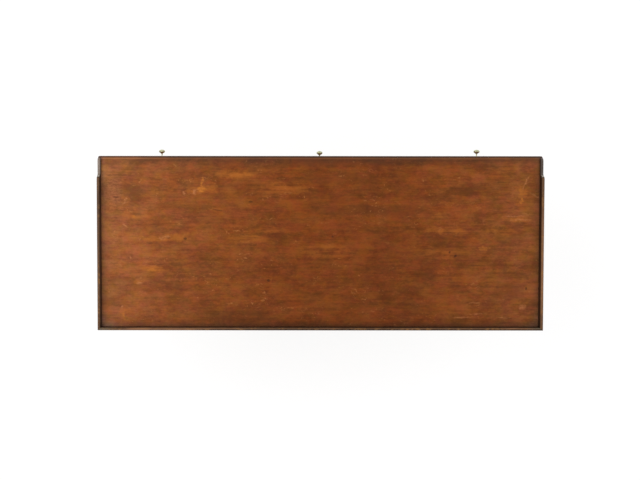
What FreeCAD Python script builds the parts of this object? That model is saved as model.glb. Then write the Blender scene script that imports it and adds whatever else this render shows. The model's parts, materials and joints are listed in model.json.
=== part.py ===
"""A writing desk: a galleried top on four reeded legs, with a long shallow drawer between two deep ones.

Lengths are millimetres. X runs along the desk, the drawers open towards -Y, and Z is up from the floor.
The origin is on the floor, under the middle of the whole desk with its knobs.
Left and right are those of someone who sits at the drawers.
"""

import FreeCAD, Part
import math
import os
from types import SimpleNamespace

import Sketcher

# Driving sizes, in millimetres
SIZES = {
    # the top
    "top_width": 1524.0,
    "top_depth": 597.0,
    "surface_height": 747.0,
    "top_thickness": 20.0,
    "overhang_front": 5.0,
    "overhang_side": 8.0,
    "overhang_back": 8.0,
    "edge_round": 6.0,
    "edge_quirk": 1.0,
    "edge_cove": 4.0,
    "corner_round": 5.0,
    # the gallery round three sides of the top
    "gallery_height": 28.0,
    "gallery_thickness": 9.5,
    "gallery_housing": 4.0,
    "gallery_bevel": 1.5,
    "gallery_setback": 6.0,
    "gallery_low_height": 12.0,
    "gallery_low_length": 58.0,
    "gallery_sweep": 22.0,
    # the legs
    "leg_block": 52.0,
    "block_drop": 12.0,
    "glide_thickness": 3.0,
    "glide_radius": 8.0,
    # the rails and aprons
    "top_rail": 18.0,
    "lower_rail": 18.0,
    "side_opening_height": 122.0,
    "side_opening_width": 291.0,
    "centre_opening_height": 78.0,
    "centre_recess": 6.0,
    "apron_thickness": 20.0,
    "apron_reveal": 3.0,
    "bead_height": 6.0,
    "partition": 22.0,
    "housing_depth": 4.0,
    "bracket_reach": 74.0,
    "bracket_step": 6.0,
    "bracket_thickness": 18.0,
    # the joints of the frame
    "tenon_length": 22.0,
    "tenon_thickness": 8.0,
    "tenon_shoulder": 10.0,
    "stub_length": 8.0,
    "tenon_fit": 0.2,
    "dovetail_length": 16.0,
    "dovetail_flare": 5.0,
    # what carries the drawers
    "runner_width": 25.0,
    "guide_height": 15.0,
    "stop_width": 30.0,
    "stop_depth": 22.0,
    "stop_height": 4.5,
    "stop_inset": 60.0,
    "glue_block": 20.0,
    "glue_block_length": 60.0,
    # the drawers
    "drawer_back_room": 41.0,
    "drawer_gap": 1.0,
    "drawer_top_gap": 3.0,
    "front_thickness": 20.0,
    "front_lap": 7.0,
    "side_thickness": 9.0,
    "back_thickness": 9.0,
    "back_drop": 6.0,
    "bottom_thickness": 5.0,
    "bottom_height": 6.0,
    "groove_depth": 4.5,
    "groove_spare": 0.5,
    # the bead round each drawer front
    "cockbead_thickness": 3.0,
    "cockbead_depth": 8.0,
    "cockbead_proud": 2.0,
    # the knobs, whose stems go into the drawer fronts
    "knob_projection": 31.5,
    "knob_radius": 10.7,
    "stem_radius": 2.9,
    "stem_bite": 14.0,
    "stem_fit": 0.2,
    "stem_hole_spare": 1.0,
}

# Shares of the size that each outline follows
TAIL_ROOT_SHARE = 0.58
TAIL_TIP_SHARE = 0.80
COCKBEAD_BEVEL_SHARE = 0.3
BRACKET_TOE_SHARE = 0.12
GLUE_BLOCK_PLACE_SHARES = (-0.36, 0.0, 0.36)

# The turned ends of the leg, each from its lower end up: radius as a share of the square block, and
# height as a share of the length between the glide and the block
FOOT_PROFILE_SHARES = (
    (0.24, 0.000),
    (0.34, 0.034),
    (0.34, 0.070),
)
HEAD_PROFILE_SHARES = (
    (0.45, 0.895),
    (0.45, 0.925),
    (0.38, 0.946),
    (0.46, 0.946),
    (0.46, 1.000),
)

# The reeded shaft between them has a flat for each reed. The shares are from its axis to the flats.
REEDS = 16
SHAFT_LOW_SHARE = 0.26
SHAFT_HIGH_SHARE = 0.41

# A knob from the underside of its cup to its domed end: distance from the drawer front as a share of
# its projection, and radius as a share of its largest
KNOB_PROFILE_SHARES = (
    (0.49, 0.60),
    (0.64, 1.00),
    (0.84, 1.00),
    (1.00, 0.62),
)

# How far arcs bow: the tangent of a quarter of their angle
QUARTER_BOW_SHARE = math.tan(math.pi / 8)
BRACKET_BOW_SHARE = 0.36

# Dovetails in each corner of a drawer
DEEP_DRAWER_TAILS = 4
LONG_DRAWER_TAILS = 3

SIDE_SIGNS = {"left": -1, "right": 1}

doc = FreeCAD.newDocument("writing_desk")
sheet = doc.addObject("Spreadsheet::Sheet", "Sizes")
for row, (alias, number) in enumerate(SIZES.items(), start=1):
    sheet.set(f"A{row}", alias)
    sheet.set(f"B{row}", str(number))
    sheet.setAlias(f"B{row}", alias)
doc.recompute()


class Size:
    """A length: its number of millimetres, and the formula that gives it from the sheet."""

    def __init__(self, number, formula):
        self.number = number
        self.formula = formula

    def __add__(self, other):
        return Size(self.number + other.number, f"({self.formula} + {other.formula})")

    def __sub__(self, other):
        return Size(self.number - other.number, f"({self.formula} - {other.formula})")

    def __mul__(self, share):
        return Size(self.number * share, f"({self.formula} * ({share}))")

    def __truediv__(self, share):
        return Size(self.number / share, f"({self.formula} / ({share}))")

    def __neg__(self):
        return self * -1


def from_sheet(alias):
    """The size that a cell of the sheet holds."""
    return Size(float(sheet.get(alias)), f"Sizes.{alias}")


s = SimpleNamespace(**{alias: from_sheet(alias) for alias in SIZES})
ZERO = Size(0.0, "0")

# Heights
underside = s.surface_height - s.top_thickness
opening_top = underside - s.top_rail
side_floor = opening_top - s.side_opening_height
centre_floor = opening_top - s.centre_opening_height
frieze_bottom = side_floor - s.lower_rail
centre_bottom = centre_floor - s.lower_rail
block_bottom = frieze_bottom - s.block_drop
gallery_seat = s.surface_height - s.gallery_housing
gallery_top = s.surface_height + s.gallery_height

# Places along the depth; the knobs reach past the top, and the origin is midway
knob_reach = s.knob_projection - s.overhang_front
top_front = (knob_reach - s.top_depth) / 2
top_back = top_front + s.top_depth
frieze_front = top_front + s.overhang_front
frieze_back = top_back - s.overhang_back
centre_front = frieze_front + s.centre_recess
rail_back = frieze_front + s.leg_block
back_leg_front = frieze_back - s.leg_block
apron_outside = frieze_back - s.apron_reveal
apron_inside = apron_outside - s.apron_thickness
drawer_end = apron_inside - s.drawer_back_room

# Places along the width, from the middle outwards
half_top = s.top_width / 2
half_frieze = half_top - s.overhang_side
leg_inside = half_frieze - s.leg_block
partition_outside = leg_inside - s.side_opening_width
partition_inside = partition_outside - s.partition
end_outside = half_frieze - s.apron_reveal
end_inside = end_outside - s.apron_thickness

nodes = []


def bind(thing, prop, size):
    """Ties a property to the sheet."""
    thing.setExpression(prop, size.formula)


def place(thing, x=None, y=None, z=None):
    """Ties the place of an object to the sheet, along the axes that are given."""
    for axis, size in (("x", x), ("y", y), ("z", z)):
        if size is not None:
            bind(thing, f"Placement.Base.{axis}", size)
    return thing


def keep(thing, name):
    """Makes the object a sub-part of the desk under that name."""
    thing.Label = name
    nodes.append(thing)
    return thing


def across(side, near, far):
    """Low and high X of what lies between two distances from the middle, left (-1) or right (1)."""
    return (near, far) if side > 0 else (-far, -near)


def board(name, x, y, z):
    """A square-edged board, given by its low and high place on each axis."""
    box = doc.addObject("Part::Box", name)
    for prop, (low, high) in zip(("Length", "Width", "Height"), (x, y, z)):
        bind(box, prop, high - low)
    return place(box, x[0], y[0], z[0])


def grown(span, fit):
    """The span between two places, made longer by the fit at both ends."""
    return span[0] - fit, span[1] + fit


def fuse(name, *pieces):
    joined = doc.addObject("Part::MultiFuse", name)
    joined.Shapes = list(pieces)
    return joined


def group(name, pieces):
    """Separate solids that share one sub-part."""
    gathered = doc.addObject("Part::Compound", name)
    gathered.Links = list(pieces)
    return gathered


def cut(name, base, *tools):
    """The base with each of the tools taken out of it."""
    removed = doc.addObject("Part::Cut", name)
    removed.Base = base
    removed.Tool = tools[0] if len(tools) == 1 else fuse(f"{name}_tools", *tools)
    return removed


def arc_between(start, end, bulge):
    """The arc from start to end, with its centre as sizes. The bulge is the tangent of a quarter of
    its angle, and is positive where the arc turns left."""
    (x0, y0), (x1, y1) = start, end
    lean = (1 - bulge * bulge) / (4 * bulge)
    centre = ((x0 + x1) / 2 - (y1 - y0) * lean, (y0 + y1) / 2 + (x1 - x0) * lean)
    cx, cy = centre[0].number, centre[1].number
    radius = math.hypot(x0.number - cx, y0.number - cy)
    first, last = (start, end) if bulge > 0 else (end, start)
    angles = [math.atan2(p[1].number - cy, p[0].number - cx) for p in (first, last)]
    if angles[1] < angles[0]:
        angles[1] += 2 * math.pi
    circle = Part.Circle(FreeCAD.Vector(cx, cy, 0), FreeCAD.Vector(0, 0, 1), radius)
    return Part.ArcOfCircle(circle, *angles), centre


def sketch_on(body, plane, outline):
    """A closed sketch on one of the body's own planes. Each point of the outline is two sizes, and a
    bulge where the stretch to the next point is an arc."""
    sketch = body.newObject("Sketcher::SketchObject", f"{body.Name}_sketch")
    found = [face for face in body.Origin.OriginFeatures if face.Role == plane]
    sketch.AttachmentSupport = [(found[0], "")]
    sketch.MapMode = "FlatFace"
    points = [(corner[0], corner[1]) for corner in outline]
    bulges = [corner[2] if len(corner) > 2 else 0 for corner in outline]
    geometry, starts, ends, centres = [], [], [], []
    for point, following, bulge in zip(points, points[1:] + points[:1], bulges):
        centre = None
        if bulge:
            edge, centre = arc_between(point, following, bulge)
        else:
            corners = [FreeCAD.Vector(p[0].number, p[1].number, 0) for p in (point, following)]
            edge = Part.LineSegment(*corners)
        geometry.append(edge)
        centres.append(centre)
        starts.append(2 if bulge < 0 else 1)
        ends.append(1 if bulge < 0 else 2)
    sketch.addGeometry(geometry)
    count = len(points)
    for index in range(count):
        following = (index + 1) % count
        link = ("Coincident", index, ends[index], following, starts[following])
        sketch.addConstraint(Sketcher.Constraint(*link))
    for index, point in enumerate(points):
        for kind, size in zip(("DistanceX", "DistanceY"), point):
            dimension(sketch, kind, index, starts[index], size)
    for index, centre in enumerate(centres):
        if centre is None:
            continue
        start, end = points[index], points[(index + 1) % count]
        upright = abs(end[1].number - start[1].number) >= abs(end[0].number - start[0].number)
        kind, size = ("DistanceX", centre[0]) if upright else ("DistanceY", centre[1])
        dimension(sketch, kind, index, 3, size)
    return sketch


def dimension(sketch, kind, edge, end, size):
    """Ties one coordinate of a sketch point to the sheet."""
    added = sketch.addConstraint(Sketcher.Constraint(kind, -1, 1, edge, end, size.number))
    sketch.setExpression(f"Constraints[{added}]", size.formula)


def prism(name, plane, outline, start, length):
    """A body padded from an outline, from its start along X, Y or Z."""
    body = doc.addObject("PartDesign::Body", name)
    pad = body.newObject("PartDesign::Pad", f"{name}_pad")
    pad.Profile = sketch_on(body, plane, outline)
    pad.Reversed = plane == "XZ_Plane"
    bind(pad, "Length", length)
    axis = {"YZ_Plane": "x", "XZ_Plane": "y", "XY_Plane": "z"}[plane]
    return place(body, **{axis: start})


def revolved(body, plane, outline, axis):
    """Adds to the body the solid that the outline sweeps round one of its sketch's axes."""
    turned = body.newObject("PartDesign::Revolution", f"{body.Name}_turned")
    turned.Profile = sketch_on(body, plane, outline)
    turned.ReferenceAxis = (turned.Profile[0], [axis])
    turned.Angle = 360.0
    return body


def bevel_edges(body, width, chosen):
    """Bevels the edges of the body that the test chooses."""
    doc.recompute()
    base = body.Tip
    names = [f"Edge{n}" for n, edge in enumerate(base.Shape.Edges, start=1) if chosen(edge)]
    bevelled = body.newObject("PartDesign::Chamfer", f"{body.Name}_edges")
    bevelled.Base = (base, names)
    bind(bevelled, "Size", width)
    return body


def box_corners(x, y):
    """The four points of a rectangle."""
    return [(x[0], y[0]), (x[1], y[0]), (x[1], y[1]), (x[0], y[1])]


def through(edge, axis):
    """How far an edge reaches along an axis."""
    box = edge.BoundBox
    return {"x": box.XLength, "y": box.YLength, "z": box.ZLength}[axis]


TOLERANCE = 1e-4


def make_top():
    """The top: an ovolo and quirk along the front, rounded front corners, a cove under every edge,
    and a rebate that seats the gallery."""
    above_cove = underside + s.edge_cove
    quirk_foot = s.surface_height - s.edge_quirk
    rebate_front = top_back - s.gallery_thickness
    section = [
        (top_front + s.edge_cove, underside, -QUARTER_BOW_SHARE),
        (top_front, above_cove),
        (top_front, quirk_foot - s.edge_round, -QUARTER_BOW_SHARE),
        (top_front + s.edge_round, quirk_foot),
        (top_front + s.edge_round, s.surface_height),
        (rebate_front, s.surface_height),
        (rebate_front, gallery_seat),
        (top_back, gallery_seat),
        (top_back, above_cove, -QUARTER_BOW_SHARE),
        (top_back - s.edge_cove, underside),
    ]
    ends = [
        (half_top - s.edge_cove, underside, QUARTER_BOW_SHARE),
        (half_top, above_cove),
        (half_top, s.surface_height),
        (-half_top, s.surface_height),
        (-half_top, above_cove, QUARTER_BOW_SHARE),
        (s.edge_cove - half_top, underside),
    ]
    plan = [
        (-half_top, top_front + s.corner_round, QUARTER_BOW_SHARE),
        (s.corner_round - half_top, top_front),
        (half_top - s.corner_round, top_front, QUARTER_BOW_SHARE),
        (half_top, top_front + s.corner_round),
        (half_top, top_back),
        (-half_top, top_back),
    ]
    moulded = doc.addObject("Part::MultiCommon", "top_moulded")
    moulded.Shapes = [
        prism("top_section", "YZ_Plane", section, -half_top, s.top_width),
        prism("top_ends", "XZ_Plane", ends, top_front, s.top_depth),
        prism("top_plan", "XY_Plane", plan, underside, s.top_thickness),
    ]
    rebates = []
    for name, side in SIDE_SIGNS.items():
        x = across(side, half_top - s.gallery_thickness, half_top)
        y = (top_front + s.gallery_setback, top_back)
        rebates.append(board(f"rebate_{name}", x, y, (gallery_seat, s.surface_height)))
    keep(cut("desk_top", moulded, *rebates), "desk_top")


def make_gallery():
    """The low boards that stand round the back and ends, mitred at the back corners. Each end board
    drops in an ogee to a low rail that ends in a rounded nose."""
    inner = half_top - s.gallery_thickness
    mitre_front = top_back - s.gallery_thickness
    rise = gallery_top - gallery_seat
    fall = s.gallery_height - s.gallery_low_height
    level_ends = math.tan(math.atan2(fall.number, s.gallery_sweep.number) / 2)
    back = prism(
        "gallery_back_board", "XY_Plane",
        box_corners((-half_top, half_top), (mitre_front, top_back)), gallery_seat, rise,
    )
    bevel_edges(back, s.gallery_bevel, is_top_of_back_gallery)
    wedges = []
    for name, side in SIDE_SIGNS.items():
        corner = [(inner * side, mitre_front), (half_top * side, top_back)]
        outer = corner + [(half_top * side, mitre_front)]
        wedges.append(prism(f"back_mitre_{name}", "XY_Plane", outer, gallery_seat, rise))
        low_top = s.surface_height + s.gallery_low_height
        nose = top_front + s.gallery_setback
        sweep_start = top_front + s.gallery_low_length
        sweep_end = sweep_start + s.gallery_sweep
        profile = [
            (nose, gallery_seat),
            (top_back, gallery_seat),
            (top_back, gallery_top),
            (sweep_end, gallery_top, level_ends),
            ((sweep_start + sweep_end) / 2, (low_top + gallery_top) / 2, -level_ends),
            (sweep_start, low_top),
            (nose + s.gallery_low_height, low_top, QUARTER_BOW_SHARE),
            (nose, s.surface_height),
        ]
        low_x = across(side, inner, half_top)[0]
        end = prism(f"gallery_{name}_board", "YZ_Plane", profile, low_x, s.gallery_thickness)
        bevel_edges(end, s.gallery_bevel, is_top_of_end_gallery)
        inside = corner + [(inner * side, top_back)]
        tool = prism(f"end_mitre_{name}", "XY_Plane", inside, gallery_seat, rise)
        keep(cut(f"gallery_{name}", end, tool), f"gallery_{name}")
    keep(cut("gallery_back", back, *wedges), "gallery_back")


def is_top_of_back_gallery(edge):
    """The long edges at the top of the back board, in the body's own frame."""
    at_top = edge.BoundBox.ZMin > TOLERANCE
    return at_top and through(edge, "x") > TOLERANCE and through(edge, "y") < TOLERANCE


def is_top_of_end_gallery(edge):
    """The edges that follow the profile of an end board above the surface of the top."""
    above_top = edge.BoundBox.ZMin > s.surface_height.number - TOLERANCE
    return above_top and through(edge, "x") < TOLERANCE


def leg_height(share):
    """The height at a share of the length between the glide and the block."""
    return s.glide_thickness + (block_bottom - s.glide_thickness) * share


def turned_outline(profile):
    """Half of a turned end of the leg, from the middle of its lower face round to its upper one."""
    outline = [(s.leg_block * radius_share, leg_height(share)) for radius_share, share in profile]
    return [(ZERO, outline[0][1]), *outline, (ZERO, outline[-1][1])]


def reeded_shaft(name):
    """The tapered shaft: what square tapers have in common when each is turned by one more reed."""
    low, high = leg_height(FOOT_PROFILE_SHARES[-1][1]), leg_height(HEAD_PROFILE_SHARES[0][1])
    squares = []
    for number in range(REEDS // 4):
        square = doc.addObject("Part::Wedge", f"{name}_square_{number + 1}")
        for end, share in (("", SHAFT_LOW_SHARE), ("2", SHAFT_HIGH_SHARE)):
            for axis in "XZ":
                bind(square, f"{axis}{end}min", s.leg_block * -share)
                bind(square, f"{axis}{end}max", s.leg_block * share)
        bind(square, "Ymax", high - low)
        turn = FreeCAD.Rotation(FreeCAD.Vector(0, 0, 1), number * 360 / REEDS)
        upright = FreeCAD.Rotation(FreeCAD.Vector(1, 0, 0), 90)
        square.Placement = FreeCAD.Placement(FreeCAD.Vector(), turn * upright)
        squares.append(place(square, z=low))
    shaft = doc.addObject("Part::MultiCommon", name)
    shaft.Shapes = squares
    return shaft


def make_leg(name, side, row):
    """A leg with a square block, turned ends and a reeded shaft. Mortises take the tenons of the
    rails and aprons."""
    head = doc.addObject("PartDesign::Body", f"leg_{name}_head")
    half_block = s.leg_block / 2
    block = head.newObject("PartDesign::Pad", f"leg_{name}_block")
    square = box_corners((-half_block, half_block), (-half_block, half_block))
    block.Profile = sketch_on(head, "XY_Plane", square)
    bind(block.Profile[0], "AttachmentOffset.Base.z", block_bottom)
    bind(block, "Length", underside - block_bottom)
    revolved(head, "XZ_Plane", turned_outline(HEAD_PROFILE_SHARES), "V_Axis")
    foot = doc.addObject("PartDesign::Body", f"leg_{name}_foot")
    revolved(foot, "XZ_Plane", turned_outline(FOOT_PROFILE_SHARES), "V_Axis")
    blank = fuse(f"leg_{name}_blank", head, reeded_shaft(f"leg_{name}_shaft"), foot)
    x = (leg_inside + half_block) * side
    y = frieze_front + half_block if row == "front" else frieze_back - half_block
    place(blank, x, y)
    tools = []
    for tenon in TENONS[row]:
        x_span, y_span, z_span = tenon(side)
        tools.append(mortise(f"leg_{name}_{tenon.__name__}", x_span, y_span, z_span))
    if row == "front":
        tools.append(dovetail_socket(f"leg_{name}_socket", side))
    keep(cut(f"leg_{name}", blank, *tools), f"leg_{name}")


def mortise(name, x, y, z):
    """The hole for a tenon: larger all round by the fit."""
    return board(name, grown(x, s.tenon_fit), grown(y, s.tenon_fit), grown(z, s.tenon_fit))


def lower_rail_tenon(side):
    """The tenon of the rail under a deep drawer, in the front leg."""
    middle = (frieze_bottom + side_floor) / 2
    return (
        across(side, leg_inside, leg_inside + s.tenon_length),
        (frieze_front + s.tenon_shoulder, rail_back - s.tenon_shoulder),
        (middle - s.tenon_thickness / 2, middle + s.tenon_thickness / 2),
    )


def apron_tenon_heights():
    return frieze_bottom + s.tenon_shoulder, underside - s.tenon_shoulder


def end_apron_front_tenon(side):
    """The front tenon of an end apron."""
    middle = (end_inside + end_outside) / 2
    x = across(side, middle - s.tenon_thickness / 2, middle + s.tenon_thickness / 2)
    return x, (rail_back - s.tenon_length, rail_back), apron_tenon_heights()


def end_apron_back_tenon(side):
    """The back tenon of an end apron."""
    x = end_apron_front_tenon(side)[0]
    return x, (back_leg_front, back_leg_front + s.tenon_length), apron_tenon_heights()


def back_apron_tenon(side):
    """The tenon at one end of the back apron."""
    middle = (apron_inside + apron_outside) / 2
    y = (middle - s.tenon_thickness / 2, middle + s.tenon_thickness / 2)
    return across(side, leg_inside, leg_inside + s.tenon_length), y, apron_tenon_heights()


TENONS = {
    "front": (lower_rail_tenon, end_apron_front_tenon),
    "back": (end_apron_back_tenon, back_apron_tenon),
}


def dovetail_points(side):
    """Plan of the dovetail that ties the top rail into a front leg, from its back round to its front."""
    root_front = frieze_front + s.tenon_shoulder
    root_back = rail_back - s.tenon_shoulder
    tip = (leg_inside + s.dovetail_length) * side
    root = leg_inside * side
    return [
        (root, root_back),
        (tip, root_back + s.dovetail_flare),
        (tip, root_front - s.dovetail_flare),
        (root, root_front),
    ]


def dovetail_socket(name, side):
    return prism(name, "XY_Plane", dovetail_points(side), opening_top, s.top_rail)


def make_front_rails():
    """The top rail, set back over the long drawer and dovetailed into the legs, and the rails under
    the drawers."""
    plan = [
        (-leg_inside, frieze_front),
        (-partition_inside, frieze_front),
        (-partition_inside, centre_front),
        (partition_inside, centre_front),
        (partition_inside, frieze_front),
        (leg_inside, frieze_front),
        *reversed(dovetail_points(1)),
        (leg_inside, rail_back),
        (-leg_inside, rail_back),
        *dovetail_points(-1),
    ]
    rail = prism("top_rail_blank", "XY_Plane", plan, opening_top, s.top_rail)
    sockets = [mortise(f"stile_socket_{name}", *stile_tenon(side)) for name, side in SIDE_SIGNS.items()]
    keep(cut("front_top_rail", rail, *sockets), "front_top_rail")

    middle = (centre_floor + centre_bottom) / 2
    centre = [
        board(
            "centre_rail_board", (-partition_inside, partition_inside),
            (centre_front, rail_back), (centre_bottom, centre_floor),
        )
    ]
    for name, side in SIDE_SIGNS.items():
        rail = board(
            f"side_rail_{name}_board", across(side, partition_outside, leg_inside),
            (frieze_front, rail_back), (frieze_bottom, side_floor),
        )
        outer = board(f"side_rail_{name}_tenon", *lower_rail_tenon(side))
        stub = board(f"side_rail_{name}_stub", *side_rail_stub(side))
        keep(fuse(f"front_rail_{name}", rail, outer, stub), f"front_rail_{name}")
        centre.append(board(f"centre_rail_stub_{name}", *centre_rail_stub(side, middle)))
    keep(fuse("front_rail_centre", *centre), "front_rail_centre")


def stub_depth():
    """Front and back of the stub tenons in the stiles."""
    return centre_front + s.tenon_shoulder, rail_back - s.tenon_shoulder


def side_rail_stub(side):
    """The stub tenon of the rail under a deep drawer, in the stile."""
    z = lower_rail_tenon(side)[2]
    return across(side, partition_outside - s.stub_length, partition_outside), stub_depth(), z


def centre_rail_stub(side, middle):
    """The stub tenon at one end of the rail under the long drawer."""
    half = s.tenon_thickness / 2
    x = across(side, partition_inside, partition_inside + s.stub_length)
    return x, stub_depth(), (middle - half, middle + half)


def stile_tenon(side):
    """The stub tenon at the top of a stile, in the top rail."""
    middle = (partition_inside + partition_outside) / 2
    half = s.tenon_thickness / 2
    x = across(side, middle - half, middle + half)
    return x, stub_depth(), (opening_top, opening_top + s.stub_length)


def make_dividers():
    """The stile and the partition between the long drawer and each deep one."""
    for name, side in SIDE_SIGNS.items():
        x = across(side, partition_inside, partition_outside)
        post = board(
            f"stile_{name}_post", x, (frieze_front, rail_back), (frieze_bottom, opening_top)
        )
        tenoned = fuse(f"stile_{name}_tenoned", post, board(f"stile_{name}_tenon", *stile_tenon(side)))
        middle = (centre_floor + centre_bottom) / 2
        tools = [
            mortise(f"stile_{name}_outer", *side_rail_stub(side)),
            mortise(f"stile_{name}_inner", *centre_rail_stub(side, middle)),
        ]
        keep(cut(f"stile_{name}", tenoned, *tools), f"stile_{name}")
        y = (rail_back, apron_inside + s.housing_depth)
        keep(board(f"partition_{name}", x, y, (frieze_bottom, underside)), f"partition_{name}")


def bead_section(face, outwards, low):
    """Section of an apron: its flat face, and a half round bead along the lower edge that comes out
    as far as the legs. Outwards is 1 or -1, the way that the face looks."""
    half_bead = s.bead_height / 2
    inner = face - s.apron_thickness * outwards
    return [
        (face, low, outwards),
        (face, low + half_bead * 2),
        (face, underside),
        (inner, underside),
        (inner, low),
    ]


def make_aprons():
    """The boards that close the ends and the back, tenoned into the legs."""
    for name, side in SIDE_SIGNS.items():
        section = bead_section(end_outside * side, side, frieze_bottom)
        length = back_leg_front - rail_back
        face = prism(f"end_apron_{name}_board", "XZ_Plane", section, rail_back, length)
        front = board(f"end_apron_{name}_front_tenon", *end_apron_front_tenon(side))
        back = board(f"end_apron_{name}_back_tenon", *end_apron_back_tenon(side))
        keep(fuse(f"end_apron_{name}", face, front, back), f"end_apron_{name}")

    section = bead_section(apron_outside, 1, frieze_bottom)
    face = prism("back_apron_board", "YZ_Plane", section, -leg_inside, leg_inside * 2)
    tenons = [
        board(f"back_apron_tenon_{name}", *back_apron_tenon(side)) for name, side in SIDE_SIGNS.items()
    ]
    joined = fuse("back_apron_tenoned", face, *tenons)
    housings = [
        board(
            f"back_apron_housing_{name}", across(side, partition_inside, partition_outside),
            (apron_inside, apron_inside + s.housing_depth), (frieze_bottom, underside),
        )
        for name, side in SIDE_SIGNS.items()
    ]
    keep(cut("back_apron", joined, *housings), "back_apron")


def make_knee_brackets():
    """The curved brackets in the upper corners of the knee hole."""
    for name, side in SIDE_SIGNS.items():
        inner = partition_inside - s.bracket_reach
        toe = partition_inside - s.bracket_reach * BRACKET_TOE_SHARE
        outline = [
            (partition_inside * side, centre_bottom),
            (inner * side, centre_bottom),
            (inner * side, centre_bottom - s.bracket_step, -BRACKET_BOW_SHARE * side),
            (toe * side, frieze_bottom),
            (partition_inside * side, frieze_bottom),
        ]
        bracket = prism(f"knee_bracket_{name}", "XZ_Plane", outline, centre_front, s.bracket_thickness)
        keep(bracket, f"knee_bracket_{name}")


def strip_places():
    """Where the strips that carry and hold down each drawer lie: low and high X, and back end."""
    inner = (partition_outside, partition_outside + s.runner_width)
    outer = (leg_inside - s.runner_width, end_inside)
    centre = (partition_inside - s.runner_width, partition_inside)
    places = {
        bay: [(across(side, *inner), apron_inside), (across(side, *outer), back_leg_front)]
        for bay, side in SIDE_SIGNS.items()
    }
    places["centre"] = [(across(side, *centre), apron_inside) for side in SIDE_SIGNS.values()]
    return places


def make_drawer_carriers():
    """Runners under the drawers, kickers over them, guides beside the deep ones and the stops."""
    for bay, strips in strip_places().items():
        floor = centre_floor if bay == "centre" else side_floor
        runners, kickers = [], []
        for number, (x, back) in enumerate(strips, start=1):
            y = (rail_back, back)
            runner = board(f"runner_{bay}_{number}", x, y, (floor - s.lower_rail, floor))
            runners.append(runner)
            kickers.append(board(f"kicker_{bay}_{number}", x, y, (opening_top, underside)))
        keep(group(f"runners_{bay}", runners), f"runners_{bay}")
        keep(group(f"kickers_{bay}", kickers), f"kickers_{bay}")
    for name, side in SIDE_SIGNS.items():
        x = across(side, leg_inside, end_inside)
        z = (side_floor, side_floor + s.guide_height)
        guide = board(f"drawer_guide_{name}", x, (rail_back, back_leg_front), z)
        keep(guide, f"drawer_guide_{name}")

    stops = []
    for bay, (middle, half, floor, front) in bays().items():
        for name, side in SIDE_SIGNS.items():
            x = middle + (half - s.stop_inset) * side
            y = front + s.front_thickness
            stops.append(
                board(
                    f"stop_{bay}_{name}", (x - s.stop_width / 2, x + s.stop_width / 2),
                    (y, y + s.stop_depth), (floor, floor + s.stop_height),
                )
            )
    keep(group("drawer_stops", stops), "drawer_stops")


def bays():
    """Each drawer's place: the middle of its opening, half the width, the floor and the front face."""
    side_middle = (partition_outside + leg_inside) / 2
    half_side = s.side_opening_width / 2
    places = {
        bay: (side_middle * side, half_side, side_floor, frieze_front) for bay, side in SIDE_SIGNS.items()
    }
    places["centre"] = (ZERO, partition_inside, centre_floor, centre_front)
    return places


def make_fixings():
    """The glue blocks that hold the top to the back apron, and the glides under the feet."""
    blocks = []
    for number, place_share in enumerate(GLUE_BLOCK_PLACE_SHARES, start=1):
        start = leg_inside * 2 * place_share - s.glue_block_length / 2
        section = [
            (apron_inside, underside),
            (apron_inside - s.glue_block, underside),
            (apron_inside, underside - s.glue_block),
        ]
        blocks.append(prism(f"glue_block_{number}", "YZ_Plane", section, start, s.glue_block_length))
    keep(group("glue_blocks", blocks), "glue_blocks")

    glides = []
    half_block = s.leg_block / 2
    for name, side in SIDE_SIGNS.items():
        for row, y in (("front", frieze_front + half_block), ("back", frieze_back - half_block)):
            glide = doc.addObject("Part::Cylinder", f"glide_{row}_{name}")
            bind(glide, "Radius", s.glide_radius)
            bind(glide, "Height", s.glide_thickness)
            glides.append(place(glide, (leg_inside + half_block) * side, y))
    keep(group("leg_glides", glides), "leg_glides")


def tails(shoulder, tip, low, height, count):
    """Corners of a row of dovetails that stand on a shoulder, from the low end up."""
    pitch = height / count
    corners = []
    for number in range(count):
        middle = low + pitch * (number + 0.5)
        root, end = pitch * (TAIL_ROOT_SHARE / 2), pitch * (TAIL_TIP_SHARE / 2)
        corners += [
            (shoulder, middle - root),
            (tip, middle - end),
            (tip, middle + end),
            (shoulder, middle + root),
        ]
    return corners


def side_outline(front, floor, height, count):
    """A drawer side seen from its face: half blind dovetails in front and through dovetails behind."""
    shoulder, tip = front + s.front_thickness, front + s.front_lap
    end = drawer_end
    inside = end - s.back_thickness
    back_low = floor + s.bottom_height + s.bottom_thickness
    back_high = floor + height - s.back_drop
    behind = tails(inside, end, back_low, back_high - back_low, count)
    return [
        (shoulder, floor),
        (end, floor),
        (end, back_low),
        (inside, back_low),
        *behind,
        (inside, back_high),
        (end, back_high),
        (end, floor + height),
        (shoulder, floor + height),
        *reversed(tails(shoulder, tip, floor, height, count)),
    ]


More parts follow.
